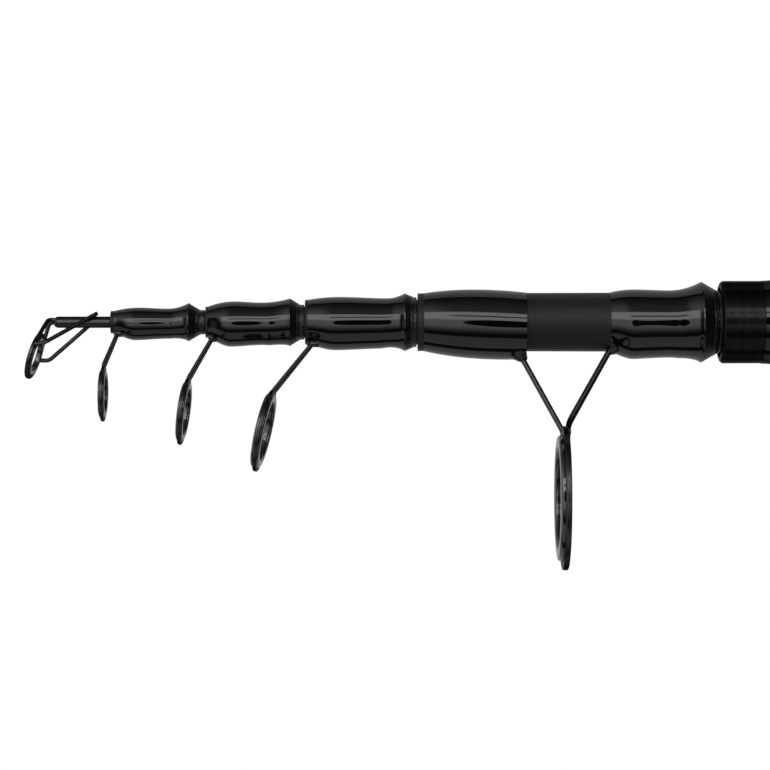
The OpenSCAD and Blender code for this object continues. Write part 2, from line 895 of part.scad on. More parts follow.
module rear_grip() {
  r = rear_grip_d / 2;
  sleeve_r = butt_r(0) + ferrule_wall + 2 * glue;
  edge = [for (k = [0 : steps])
    let (a = 90 * k / steps)
    [r - grip_round + grip_round * sin(a), -rear_grip_len + grip_round - grip_round * cos(a)]];
  color(foam_black)
    difference() {
      turned(concat(
        [[0, -rear_grip_len]],
        edge,
        [[r, 0], [0, 0]]
      ));
      blank_room(butt);
      drawn(-ferrule_sleeve - glue, ferrule_sleeve + over)
        circle(sleeve_r);
    }
}

// Butt cap
thread_r = blank_r(five, blank_len(five)) + rest_gap + seat_gap;
head_x = flange_len + seal_d + 2 * glue;
cap_x = head_x + plug_head_len;
// The bumper's spigot sits in a socket in the plug's head
socket_r = cap_r * 0.6;
socket_depth = plug_head_len / 2;

module butt_ferrule() {
  sleeve_r = butt_r(0) + ferrule_wall + glue;
  color(gunmetal)
    turned([
      [thread_r + thread_gap, glue],
      [butt_r(0) + glue, glue],
      [butt_r(-ferrule_sleeve) + glue, -ferrule_sleeve],
      [sleeve_r, -ferrule_sleeve],
      [sleeve_r, glue],
      [cap_r, glue],
      [cap_r, flange_len],
      [thread_r + thread_gap, flange_len]
    ]);
}

module seal_ring() {
  color(rubber_black)
    translate([flange_len + glue + seal_d / 2, 0, 0])
      rotate([0, 90, 0])
        rotate_extrude()
          translate([(thread_r + cap_r) / 2, 0])
            circle(d = seal_d);
}

module butt_plug() {
  c = plug_head_len / 8;
  color(matte_black)
    turned([
      [0, -plug_inner_len],
      [thread_r, -plug_inner_len],
      [thread_r, head_x],
      [cap_r - c, head_x],
      [cap_r, head_x + c],
      [cap_r, cap_x],
      [socket_r, cap_x],
      [socket_r, cap_x - socket_depth],
      [0, cap_x - socket_depth]
    ]);
}

module butt_bumper() {
  x = cap_x - socket_depth + glue;
  wall = bumper_len / 3;
  bow = [for (k = [0 : steps]) 90 * k / steps];
  round_r = bumper_len - wall;
  color(rubber_black)
    turned(concat(
      [[0, x], [socket_r - glue, x], [socket_r - glue, cap_x + glue], [cap_r - glue, cap_x + glue]],
      [for (a = bow)
        [cap_r - glue - round_r + round_r * cos(a), cap_x + wall + round_r * sin(a)]],
      [[0, cap_x + bumper_len]]
    ));
}

module damper_pad() {
  color(rubber_black)
    turned([
      [0, -plug_inner_len - damper_t],
      [thread_r - 2 * rest_gap, -plug_inner_len - damper_t],
      [thread_r - 2 * rest_gap, -plug_inner_len - glue],
      [0, -plug_inner_len - glue]
    ]);
}

tip_blank();
tip_guide_tube();
tip_guide_frame();
tip_guide_ring();
section2_blank();
section2_wrap();
section2_guide_frame();
section2_guide_ring();
section3_blank();
section3_wrap();
section3_guide_frame();
section3_guide_ring();
section4_blank();
section4_wrap();
section4_guide_frame();
section4_guide_ring();
section5_blank();
section5_front_wrap();
section5_rear_wrap();
section5_guide_frame();
section5_guide_ring();
butt_blank();
butt_wrap();
front_check();
foregrip();
seat_barrel();
fixed_hood();
sliding_hood();
lock_nut();
rear_check();
rear_grip();
butt_ferrule();
seal_ring();
butt_plug();
butt_bumper();
damper_pad();
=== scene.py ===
import json
import math

import bpy
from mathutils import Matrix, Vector


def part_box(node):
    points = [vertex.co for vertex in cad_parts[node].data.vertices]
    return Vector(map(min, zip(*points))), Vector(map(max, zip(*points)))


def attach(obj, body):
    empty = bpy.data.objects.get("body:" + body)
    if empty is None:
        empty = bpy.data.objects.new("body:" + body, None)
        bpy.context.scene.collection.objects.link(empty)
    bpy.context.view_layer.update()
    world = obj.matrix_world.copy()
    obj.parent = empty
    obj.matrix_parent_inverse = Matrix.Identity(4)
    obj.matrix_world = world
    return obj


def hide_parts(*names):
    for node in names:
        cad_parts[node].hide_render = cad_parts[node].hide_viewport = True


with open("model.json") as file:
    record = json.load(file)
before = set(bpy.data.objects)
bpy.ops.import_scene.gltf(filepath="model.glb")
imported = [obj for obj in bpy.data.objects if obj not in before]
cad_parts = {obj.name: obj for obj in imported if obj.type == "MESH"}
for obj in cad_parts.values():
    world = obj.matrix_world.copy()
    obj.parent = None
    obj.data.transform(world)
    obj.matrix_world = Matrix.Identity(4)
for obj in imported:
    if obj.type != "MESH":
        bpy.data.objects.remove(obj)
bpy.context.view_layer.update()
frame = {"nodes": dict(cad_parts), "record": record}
nodes = frame["nodes"]
mm = 0.001
print("frame loaded:", len(nodes), "nodes")


# Shader sums

class Channel:
    # one output of a node; sums on it add Math nodes
    def __init__(self, tree, output):
        self.tree = tree
        self.output = output

    def sum(self, operation, first, second=0.0, third=0.0):
        sockets = {0: first, 1: second, 2: third}
        return addNode(self.tree, "ShaderNodeMath", {"operation": operation}, sockets)

    def __add__(self, other):
        return self.sum("ADD", self, other)

    def __rsub__(self, other):
        return self.sum("SUBTRACT", other, self)

    def __mul__(self, other):
        return self.sum("MULTIPLY", self, other)

    def __rmul__(self, other):
        return self.sum("MULTIPLY", other, self)

    def __abs__(self):
        return self.sum("ABSOLUTE", self)

    def sine(self):
        return self.sum("SINE", self)

    def arcsine(self):
        return self.sum("ARCSINE", self)

    def angleOver(self, other):
        return self.sum("ARCTAN2", self, other)

    def fade(self, low, high, atLow=0.0, atHigh=1.0):
        sockets = {"Value": self, "From Min": low, "From Max": high, "To Min": atLow, "To Max": atHigh}
        return addNode(self.tree, "ShaderNodeMapRange", {"interpolation_type": "SMOOTHSTEP"}, sockets)


def addNode(tree, kind, settings, sockets, output=0):
    made = tree.nodes.new(kind)
    for name, value in settings.items():
        setattr(made, name, value)
    for key, value in sockets.items():
        if isinstance(value, Channel):
            tree.links.new(value.output, made.inputs[key])
        else:
            made.inputs[key].default_value = value
    return Channel(tree, made.outputs[output]) if made.outputs else None


def newFinish(name, fixed):
    # a Principled material with its unchanging values; returns the material, its tree and the shader
    finish = bpy.data.materials.new(name)
    finish.use_nodes = True
    tree = finish.node_tree
    shader = next(n for n in tree.nodes if n.type == "BSDF_PRINCIPLED")
    for socket, value in fixed.items():
        shader.inputs[socket].default_value = value
    return finish, tree, shader


def feed(tree, shader, **channels):
    for socket, channel in channels.items():
        tree.links.new(channel.output, shader.inputs[socket.replace("_", " ")])


def onPiece(tree, scale=(1, 1, 1)):
    place = addNode(tree, "ShaderNodeTexCoord", {}, {}, output=3)
    return addNode(tree, "ShaderNodeMapping", {}, {"Vector": place, "Scale": scale})


def grains(tree, place, scale, detail=3.0):
    return addNode(tree, "ShaderNodeTexNoise", {}, {
        "Vector": place, "Scale": scale, "Detail": detail, "Roughness": 0.55})


def tone(tree, amount, dark, light):
    # a colour between two, by an amount from 0 to 1
    return addNode(tree, "ShaderNodeMix", {"data_type": "RGBA"}, {
        0: amount, 6: (*dark, 1), 7: (*light, 1)}, output=2)


def raised(tree, height, depth, strength=1.0):
    return addNode(tree, "ShaderNodeBump", {}, {"Height": height, "Distance": depth, "Strength": strength})


# Finishes

def wrapEpoxy():
    # clear epoxy over black whipping thread: thread shows as fine rounds under the gloss
    finish, tree, shader = newFinish("wrapEpoxy", {"IOR": 1.5})
    threadsPerMetre = 4200
    place = onPiece(tree)
    along = addNode(tree, "ShaderNodeSeparateXYZ", {}, {0: place})
    thread = (along * (2 * math.pi * threadsPerMetre)).sine()
    cloud = grains(tree, place, 260)
    colour = tone(tree, thread * 0.3 + cloud * 0.5, (0.0022, 0.0022, 0.0025), (0.0052, 0.005, 0.005))
    flow = grains(tree, place, 90, detail=1)  # the resin's slow unevenness
    feed(tree, shader, Base_Color=colour, Roughness=cloud.fade(0.3, 0.8, 0.035, 0.075),
         Normal=raised(tree, flow, 0.00012, 0.35))
    return finish


def dryThread(name, ior, depth):
    # whipping thread that the epoxy has only soaked, with its winding standing up by depth
    finish, tree, shader = newFinish(name, {"IOR": ior})
    place = onPiece(tree)
    strand = grains(tree, onPiece(tree, (1, 0.35, 0.35)), 2600, detail=2)
    cloud = grains(tree, place, 700)
    colour = tone(tree, strand, (0.002, 0.002, 0.002), (0.006, 0.0058, 0.0056))
    feed(tree, shader, Base_Color=colour, Roughness=cloud.fade(0.3, 0.7, 0.22, 0.4),
         Normal=raised(tree, strand, depth))
    return finish


def blankLacquer():
    # matte lacquer over carbon tape wound at a slant
    finish, tree, shader = newFinish("blankLacquer", {"IOR": 1.33})
    place = onPiece(tree)
    speck = grains(tree, place, 2400, detail=4)
    tape = addNode(tree, "ShaderNodeTexWave", {"bands_direction": "X"}, {
        "Vector": place, "Scale": 130, "Distortion": 0.6, "Detail": 1.0}, output=1)
    colour = tone(tree, speck * 0.6 + tape * 0.4, (0.0105, 0.01, 0.0101), (0.0165, 0.0158, 0.0159))
    feed(tree, shader, Base_Color=colour, Roughness=speck.fade(0.3, 0.7, 0.42, 0.56),
         Normal=raised(tree, speck, 0.00002, 0.3))
    return finish


def buttLacquer(name, shade, clear, hazy):
    # lacquer over carbon, with a metal's even shine so its edges stay dark;
    # fine haze lies among the clear spots
    finish, tree, shader = newFinish(name, {"Metallic": 1.0, "Specular Tint": (0.43, 0.43, 0.43, 1)})
    place = onPiece(tree)
    tape = addNode(tree, "ShaderNodeTexWave", {"bands_direction": "X"}, {
        "Vector": place, "Scale": 90, "Distortion": 0.4, "Detail": 1.0}, output=1)
    haze = grains(tree, place, 6000, detail=2)
    dark, light = ([shade * share * part for part in (1, 0.97, 0.97)] for share in (0.8, 1.2))
    colour = tone(tree, tape * 0.5 + haze * 0.5, dark, light)
    feed(tree, shader, Base_Color=colour, Roughness=haze.fade(0.42, 0.58, clear, hazy))
    return finish


def guidePlating():
    # black chrome on steel: its shine stays even to the edges, with faint rubbed patches
    finish, tree, shader = newFinish("guidePlating", {"Metallic": 1.0, "Specular Tint": (0.3, 0.3, 0.3, 1)})
    place = onPiece(tree)
    marks = grains(tree, place, 5200, detail=2)
    cloud = grains(tree, place, 420)
    colour = tone(tree, cloud, (0.038, 0.0375, 0.037), (0.062, 0.061, 0.06))
    feed(tree, shader, Base_Color=colour, Roughness=marks.fade(0.3, 0.7, 0.2, 0.34))
    return finish


def guideCeramic():
    finish, tree, shader = newFinish("guideCeramic", {"IOR": 1.75})
    place = onPiece(tree)
    speck = grains(tree, place, 3000, detail=3)
    colour = tone(tree, speck, (0.006, 0.006, 0.0063), (0.013, 0.0127, 0.0125))
    feed(tree, shader, Base_Color=colour, Roughness=speck.fade(0.3, 0.7, 0.07, 0.15))
    return finish


def gripFoam():
    # closed-cell foam, ground smooth, so its cut cells show
    finish, tree, shader = newFinish("gripFoam", {"IOR": 1.3})
    place = onPiece(tree)
    cells = addNode(tree, "ShaderNodeTexVoronoi", {"feature": "F1"}, {"Vector": place, "Scale": 1900})
    cloud = grains(tree, place, 60)
    colour = tone(tree, cells * 0.7 + cloud * 0.4, (0.011, 0.011, 0.0112), (0.027, 0.027, 0.0275))
    feed(tree, shader, Base_Color=colour, Roughness=cloud.fade(0.3, 0.7, 0.82, 0.95),
         Normal=raised(tree, cells, 0.00012, 0.6))
    return finish


def mouldedPlastic():
    finish, tree, shader = newFinish("mouldedPlastic", {"IOR": 1.45})
    place = onPiece(tree)
    spark = grains(tree, place, 3400, detail=3)
    cloud = grains(tree, place, 70)
    colour = tone(tree, cloud, (0.009, 0.009, 0.0095), (0.016, 0.016, 0.0165))
    feed(tree, shader, Base_Color=colour, Roughness=spark.fade(0.3, 0.7, 0.3, 0.42),
         Normal=raised(tree, spark, 0.00003, 0.35))
    return finish


def hoodAnodising():
    # black anodised metal with a turned grain round the axis
    finish, tree, shader = newFinish("hoodAnodising", {"Metallic": 0.85})
    grain = grains(tree, onPiece(tree, (1, 0.03, 0.03)), 5200, detail=2)
    cloud = grains(tree, onPiece(tree), 120)
    colour = tone(tree, cloud, (0.026, 0.026, 0.028), (0.05, 0.05, 0.053))
    feed(tree, shader, Base_Color=colour, Roughness=grain.fade(0.3, 0.7, 0.24, 0.38),
         Normal=raised(tree, grain, 0.00001, 0.3))
    return finish


def softRubber():
    finish, tree, shader = newFinish("softRubber", {"IOR": 1.4})
    place = onPiece(tree)
    speck = grains(tree, place, 2600, detail=4)
    dust = grains(tree, place, 140)
    colour = tone(tree, dust, (0.008, 0.008, 0.008), (0.017, 0.0168, 0.0165))
    feed(tree, shader, Base_Color=colour, Roughness=dust.fade(0.3, 0.7, 0.62, 0.8),
         Normal=raised(tree, speck, 0.00004, 0.4))
    return finish


anodised = hoodAnodising()
finishes = {
    "wrap_gloss": wrapEpoxy(), "blank_matte": blankLacquer(),
    "butt_gloss": buttLacquer("buttLacquer", shade=0.015, clear=0.1, hazy=0.42),
    "guide_metal": guidePlating(), "guide_ceramic": guideCeramic(), "grip_foam": gripFoam(),
    "seat_plastic": mouldedPlastic(), "hood_metal": anodised, "trim_metal": anodised,
    "soft_rubber": softRubber(),
}
slotOf = {row["node"]: row["material_slot"] for row in frame["record"]["subparts"]}
bodies = frame["record"]["behaviour"]["bodies"]
bodyOf = {node: body for body, members in bodies.items() for node in members}
for node, slot in slotOf.items():
    nodes[node].data.materials.clear()
    nodes[node].data.materials.append(finishes[slot])
nodes["butt_wrap"].data.materials[0] = buttLacquer("buttWrapResin", shade=0.042, clear=0.05, hazy=0.16)
coneResin = dryThread("coneResin", ior=1.22, depth=0.00003)
bareThread = dryThread("bareThread", ior=1.5, depth=0.0003)
print("finishes on", len(slotOf), "nodes")


# Modelling by hand

def clearSelection():
    if bpy.context.object and bpy.context.object.mode != "OBJECT":
        bpy.ops.object.mode_set(mode="OBJECT")
    bpy.ops.object.select_all(action="DESELECT")


def editAll():
    bpy.ops.object.mode_set(mode="EDIT")
    bpy.ops.mesh.select_mode(type="VERT")
    bpy.ops.mesh.select_all(action="SELECT")


def settle(piece, node, smoothBelow=40):
    # place into the mesh, smooth shading, and the piece stands for its CAD node
    clearSelection()
    piece.select_set(True)
    bpy.context.view_layer.objects.active = piece
    bpy.ops.object.transform_apply(location=True, rotation=True, scale=True)
    bpy.ops.object.shade_smooth_by_angle(angle=math.radians(smoothBelow))
    piece.data.materials.clear()
    piece.data.materials.append(finishes[slotOf[node]])
    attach(piece, bodyOf[node])
    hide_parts(node)
    return piece


def pullRings(name, rings, sides=112, capped=False):
    # a sleeve pulled ring by ring along the rod: each ring is (x, radius, sag), out along the skin and
    # back inside, or a solid bar with both ends filled
    clearSelection()
    x, radius, sag = rings[0]
    bpy.ops.mesh.primitive_circle_add(vertices=sides, radius=radius, location=(x, 0, -sag),
                                      rotation=(0, math.pi / 2, 0))
    piece = bpy.context.object
    piece.name = name
    bpy.ops.object.transform_apply(location=True, rotation=True, scale=True)
    editAll()
    for last, ring in zip(rings, rings[1:]):
        step = (ring[0] - last[0], 0, last[2] - ring[2])
        grow = ring[1] / last[1]
        bpy.ops.mesh.extrude_edges_move(TRANSFORM_OT_translate={"value": step})
        bpy.ops.transform.resize(value=(1, grow, grow), center_override=(ring[0], 0, -ring[2]))
    bpy.ops.mesh.select_mode(type="EDGE")
    bpy.ops.mesh.select_all(action="DESELECT")
    bpy.ops.mesh.select_non_manifold()
    if capped:
        bpy.ops.mesh.fill_holes(sides=0)
    else:
        bpy.ops.mesh.bridge_edge_loops()
    bpy.ops.mesh.select_all(action="SELECT")
    bpy.ops.mesh.normals_make_consistent(inside=False)
    bpy.ops.object.mode_set(mode="OBJECT")
    return piece


def drawWire(path, thick):
    # a wire drawn as a curve through the path's points, then turned into a mesh
    clearSelection()
    bpy.ops.curve.primitive_bezier_curve_add()
    drawn = bpy.context.object
    spline = drawn.data.splines[0]
    spline.type = "POLY"
    spline.points.add(len(path) - len(spline.points))
    for point, place in zip(spline.points, path):
        point.co = (*place, 1)
    drawn.data.dimensions = "3D"
    drawn.data.bevel_depth = thick / 2
    drawn.data.bevel_resolution = 8
    drawn.data.use_fill_caps = True
    bpy.ops.object.convert(target="MESH")
    return bpy.context.object


def spinBand(radius, thick, width, roundOff, centre, tilt=0.0, forward=0.0, turns=160):
    # a band of rounded section: a flat plate rounded at its corners, then spun about the line's way
    clearSelection()
    bpy.ops.mesh.primitive_plane_add(size=1, location=(-forward, 0, radius - thick / 2),
                                     rotation=(math.pi / 2, 0, 0))
    piece = bpy.context.object
    piece.scale = (width, thick, 1)
    bpy.ops.object.transform_apply(location=True, rotation=True, scale=True)
    editAll()
    bpy.ops.mesh.bevel(offset=roundOff, segments=7, affect="VERTICES")
    bpy.ops.mesh.delete(type="ONLY_FACE")
    bpy.ops.mesh.select_all(action="SELECT")
    bpy.ops.mesh.spin(steps=turns, angle=2 * math.pi, center=(0, 0, 0), axis=(1, 0, 0))
    bpy.ops.mesh.select_all(action="SELECT")
    bpy.ops.mesh.remove_doubles(threshold=1e-6)
    bpy.ops.mesh.normals_make_consistent(inside=False)
    bpy.ops.object.mode_set(mode="OBJECT")
    piece.rotation_euler = (0, math.radians(tilt), 0)
    piece.location = centre
    bpy.ops.object.transform_apply(location=True, rotation=True, scale=True)
    return piece


def joinAll(name, pieces):
    clearSelection()
    for piece in pieces:
        piece.select_set(True)
    bpy.context.view_layer.objects.active = pieces[0]
    bpy.ops.object.join()
    joined = bpy.context.object
    joined.name = name
    editAll()
    bpy.ops.mesh.normals_make_consistent(inside=False)
    bpy.ops.object.mode_set(mode="OBJECT")
    return joined


def runDown(piece, root, leg, thick, bore):
    # the finish drawn down a guide's leg: the sleeve's underside is pulled from its point nearest the root
    clearSelection()
    piece.select_set(True)
    bpy.context.view_layer.objects.active = piece
    skin = 1.2 * glue * mm  # points this near the blank are the sleeve's inside
    inner = [math.hypot(v.co.y, v.co.z) < bore(v.co.x) + skin for v in piece.data.vertices]
    spot = root + leg * thick / 2
    outer = [v for v, within in zip(piece.data.vertices, inner) if not within]
    start = min(outer, key=lambda v: (v.co - spot).length).index
    editAll()
    bpy.ops.mesh.select_all(action="DESELECT")
    bpy.ops.object.mode_set(mode="OBJECT")
    for vertex, within in zip(piece.data.vertices, inner):
        vertex.select = within
    bpy.ops.object.mode_set(mode="EDIT")
    bpy.ops.mesh.hide(unselected=False)
    bpy.ops.object.mode_set(mode="OBJECT")
    piece.data.vertices[start].select = True
    bpy.ops.object.mode_set(mode="EDIT")
    bpy.ops.transform.translate(value=leg * thick * run["length"], use_proportional_edit=True,
                                proportional_edit_falloff="SMOOTH", proportional_size=thick * run["reach"])
    bpy.ops.mesh.reveal(select=False)
    bpy.ops.object.mode_set(mode="OBJECT")
    return piece


def coneOf(node):
    # a tapered piece's outside radius at any x, from the two ends of its CAD solid
    low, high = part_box(node)
    near = 2 * mm
    ends = {"front": 0.0, "rear": 0.0}
    for vertex in nodes[node].data.vertices:
        radius = math.hypot(vertex.co.y, vertex.co.z)
        if vertex.co.x < low.x + near:
            ends["front"] = max(ends["front"], radius)
        if vertex.co.x > high.x - near:
            ends["rear"] = max(ends["rear"], radius)
    slope = (ends["rear"] - ends["front"]) / (high.x - low.x)
    return lambda x: ends["front"] + slope * (x - low.x)


def swellOut(t):
    return 1 - (1 - t) ** 2


def blendOver(t):
    return t * t * (3 - 2 * t)


def climbUp(t):
    return t * t


def runStraight(t):
    return t


def runRibbed(t):  # straight too, but cut finely enough for the thread's ribs
    return t


def drawOutline(stations, steps=18):
    # points (distance, height) through stations (distance, height, ease to the next)
    points = []
    for (along, high, ease), following in zip(stations, stations[1:]):
        count = 3 if ease is runStraight else steps
        for k in range(count):
            t = k / count
            points.append((along + (following[0] - along) * t, high + (following[1] - high) * ease(t)))
    points.append((stations[-1][0], stations[-1][1]))
    return points


# Guides

glue = 0.03
foot = {"wide": 2.6, "thick": 0.9, "length": 13.0, "thinned": 2 / 3, "edge": 0.12}
arms = {"spread": 2.6, "bend": 0.3, "ahead": 0.45, "root": 1.9}
run = {"length": 1.2, "reach": 2.1}  # the finish that runs down a leg, in wire widths
bandRound = {"hoop": 0.25, "ring": 0.28}  # shares of a band's section that its corners take
singleGuides = {
    "section2": {"radius": 7.9, "drop": 22.0, "lead": 1.4, "tilt": 1.0, "wire": 0.9, "hoopThick": 1.1,
                 "hoopWidth": 0.9, "ringThick": 1.5, "ringWidth": 1.8, "forward": 0.1},
    "section3": {"radius": 9.5, "drop": 27.4, "lead": 5.5, "tilt": 8.0, "wire": 0.95, "hoopThick": 1.15,
                 "hoopWidth": 0.95, "ringThick": 1.75, "ringWidth": 2.0, "forward": 0.1},
    "section4": {"radius": 11.8, "drop": 33.2, "lead": 11.2, "tilt": 13.5, "wire": 1.0, "hoopThick": 1.15,
                 "hoopWidth": 1.0, "ringThick": 2.25, "ringWidth": 2.4, "forward": 0.2},
}
twoLeg = {"radius": 20.1, "drop": 53.4, "wire": 1.55, "hoopThick": 2.5, "hoopWidth": 1.6, "ringThick": 3.55,
          "ringWidth": 3.1, "forward": 0.55, "frontRoot": 28.6, "span": 25.9, "hoopShare": 0.475,
          "lands": 14, "sinks": 54, "sinkSteps": 16, "standOff": 0.75, "turnAbove": 2.1}
tipTop = {"radius": 6.8, "drop": 10.4, "lead": 5.1, "tilt": 18.0, "wire": 1.2, "hoopThick": 1.3,
          "hoopWidth": 1.1, "ringThick": 1.3, "ringWidth": 1.7, "shoulder": 50, "flank": 79, "reach": 12.3,
          "tubeRadius": 1.63, "stubDepth": 0.96, "legEnd": 52, "legClear": 30,
          "stubSide": 0.72, "noseAhead": 1.3, "noseSide": 1.1, "legBehind": 2.4}  # last row in wire widths
legOf = {}  # wrap to (root, way down the leg, wire)


def at(x, y, z):
    return Vector((x, y, z))


def frontOf(section):
    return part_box(section + "_blank")[0].x / mm


def onHoop(centre, tilt, radius, angle):
    lean, turn = math.radians(tilt), math.radians(angle)
    rise = math.cos(turn)
    return centre + radius * at(rise * math.sin(lean), math.sin(turn), rise * math.cos(lean))


def bendPath(first, corner, last, reach, count=14):
    into = corner + (first - corner).normalized() * reach
    out = corner + (last - corner).normalized() * reach
    curve = []
    for k in range(count + 1):
        t = k / count
        curve.append((1 - t) ** 2 * into + 2 * t * (1 - t) * corner + t * t * out)
    return [first] + curve + [last]


def wireOf(path, thick):
    return drawWire([p * mm for p in path], thick * mm)


def hoopOf(size, centre, tilt):
    return spinBand(size["radius"] * mm, size["hoopThick"] * mm, size["hoopWidth"] * mm,
                    bandRound["hoop"] * size["hoopWidth"] * mm, centre * mm, tilt)


def ringOf(node, size, centre, tilt):
    outside = size["radius"] - size["hoopThick"] - glue
    roundOff = bandRound["ring"] * min(size["ringThick"], size["ringWidth"])
    ring = spinBand(outside * mm, size["ringThick"] * mm, size["ringWidth"] * mm, roundOff * mm,
                    centre * mm, tilt, size.get("forward", 0) * mm)
    ring.name = node.replace("_", "-")
    return settle(ring, node, 60)


def footOf(rootX, endX, radius):
    # the flat foot that the wrap holds down: a bar thinned towards its end
    clearSelection()
    middle = (rootX + endX) / 2
    bpy.ops.mesh.primitive_cube_add(size=1, location=(middle * mm, 0, -(radius + foot["thick"] / 2) * mm))
    bar = bpy.context.object
    bar.scale = (abs(endX - rootX) * mm, foot["wide"] * mm, foot["thick"] * mm)
    bpy.ops.object.transform_apply(location=True, rotation=True, scale=True)
    editAll()
    bpy.ops.mesh.select_all(action="DESELECT")
    bpy.ops.object.mode_set(mode="OBJECT")
    for vertex in bar.data.vertices:
        atEnd = abs(vertex.co.x - endX * mm) < 1e-6
        vertex.select = atEnd and vertex.co.z < -(radius + foot["thick"] / 2) * mm
    bpy.ops.object.mode_set(mode="EDIT")
    bpy.ops.transform.translate(value=(0, 0, foot["thick"] * foot["thinned"] * mm))
    bpy.ops.mesh.select_all(action="SELECT")
    bpy.ops.mesh.bevel(offset=foot["edge"] * mm, segments=2)
    bpy.ops.object.mode_set(mode="OBJECT")
    return bar


for section, size in singleGuides.items():
    front = frontOf(section)
    blank = coneOf(section + "_blank")
    centre = at(front - size["lead"], 0, -size["drop"])
    footRadius = blank((front + foot["length"]) * mm) / mm + glue
    root = at(front + arms["root"], 0, size["wire"] / 3 - foot["thick"] - footRadius)
    middle = size["radius"] - size["hoopThick"] / 2
    parts = [hoopOf(size, centre, size["tilt"]),
             footOf(root.x - size["wire"] / 2, root.x + foot["length"], footRadius)]
    for side in (-1, 1):
        angle = side * math.degrees(math.asin(arms["spread"] / 2 / middle))
        corner = onHoop(centre, size["tilt"], size["radius"] + arms["bend"], angle)
        corner = corner - at(arms["ahead"], 0, 0)
        path = bendPath(root + at(0, side * (foot["wide"] - size["wire"]) / 2, 0), corner,
                        onHoop(centre, size["tilt"], middle, angle), size["wire"] / 2)
        parts.append(wireOf(path, size["wire"]))
    settle(joinAll(section + "-guide-frame", parts), section + "_guide_frame", 50)
    ringOf(section + "_guide_ring", size, centre, size["tilt"])
    down = onHoop(centre, size["tilt"], size["radius"] + arms["bend"], 0) - root
    legOf[section + "_wrap"] = (root * mm, down.normalized(), size["wire"] * mm)

# two-leg guide: the rear wires bend behind the hoop and sink into its back
front = frontOf("section5")
blank = coneOf("section5_blank")
centre = at(front + twoLeg["frontRoot"] + twoLeg["hoopShare"] * twoLeg["span"], 0, -twoLeg["drop"])
wire = twoLeg["wire"]
footRadius = blank((front + twoLeg["frontRoot"] + twoLeg["span"] + foot["length"]) * mm) / mm + glue
frontRoot = at(front + twoLeg["frontRoot"], 0, -footRadius - foot["thick"] / 2)
rearRoot = frontRoot + at(twoLeg["span"], 0, 0)
top = onHoop(centre, 0, twoLeg["radius"] - twoLeg["hoopThick"] / 2, 0)
apex = top + at(-wire / 4, 0, twoLeg["hoopThick"] / 2 + arms["bend"])
backRadius = twoLeg["radius"] - twoLeg["hoopThick"] + wire / 2 + 2 * glue
out = twoLeg["standOff"] * wire
turn = onHoop(centre + at(out, 0, 0), 0, backRadius, 0) + at(0, 0, twoLeg["turnAbove"] * wire)
parts = [hoopOf(twoLeg, centre, 0),
         footOf(frontRoot.x, frontRoot.x - foot["length"], footRadius),
         footOf(rearRoot.x, rearRoot.x + foot["length"], footRadius),
         wireOf(bendPath(frontRoot, apex, top, wire / 2), wire)]
for side in (-1, 1):
    path = bendPath(rearRoot + at(0, side * (foot["wide"] - wire) / 2, 0),
                    turn + at(0, side * arms["spread"] / 2, 0),
                    onHoop(centre + at(out, 0, 0), 0, backRadius, side * twoLeg["lands"]), 2 * wire)
    for k in range(1, twoLeg["sinkSteps"] + 1):
        share = k / twoLeg["sinkSteps"]
        angle = twoLeg["lands"] + (twoLeg["sinks"] - twoLeg["lands"]) * share
        path.append(onHoop(centre + at(out * (1 - share), 0, 0), 0, backRadius, side * angle))
    parts.append(wireOf(path, wire))
settle(joinAll("section5-guide-frame", parts), "section5_guide_frame", 50)
ringOf("section5_guide_ring", twoLeg, centre, 0)
legOf["section5_front_wrap"] = (frontRoot * mm, (apex - frontRoot).normalized(), wire * mm)
legOf["section5_rear_wrap"] = (rearRoot * mm, (turn - rearRoot).normalized(), wire * mm)

# tip-top
wire = tipTop["wire"]
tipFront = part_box("tip_guide_tube")[0].x / mm
centre = at(tipFront - tipTop["lead"], 0, -tipTop["drop"])
middle = tipTop["radius"] - tipTop["hoopThick"] / 2
legEnd = math.radians(tipTop["legEnd"])
legRadius = (tipTop["tubeRadius"] + wire / 2 + glue) / math.cos(math.radians(tipTop["legClear"]))
parts = [hoopOf(tipTop, centre, tipTop["tilt"])]
for side in (-1, 1):
    stub = at(tipFront, side * tipTop["stubSide"] * wire, wire / 4)
    nose = at(tipFront - tipTop["noseAhead"] * wire, side * tipTop["noseSide"] * wire, wire / 4)
    path = [stub + at(tipTop["stubDepth"], 0, 0)]
    path += bendPath(stub, nose, onHoop(centre, tipTop["tilt"], middle, side * tipTop["shoulder"]), wire)
    parts.append(wireOf(path, wire))
    flank = side * tipTop["flank"]
    corner = onHoop(centre, tipTop["tilt"], middle + wire / 2, flank) + at(tipTop["legBehind"] * wire, 0, 0)
    end = at(tipFront + tipTop["reach"], side * legRadius * math.cos(legEnd), legRadius * math.sin(legEnd))
    path = bendPath(onHoop(centre, tipTop["tilt"], middle, flank), corner, end, wire)
    parts.append(wireOf(path, wire))
settle(joinAll("tip-guide-frame", parts), "tip_guide_frame", 50)
ringOf("tip_guide_ring", tipTop, centre, tipTop["tilt"])
print("guides bent")


# Wraps

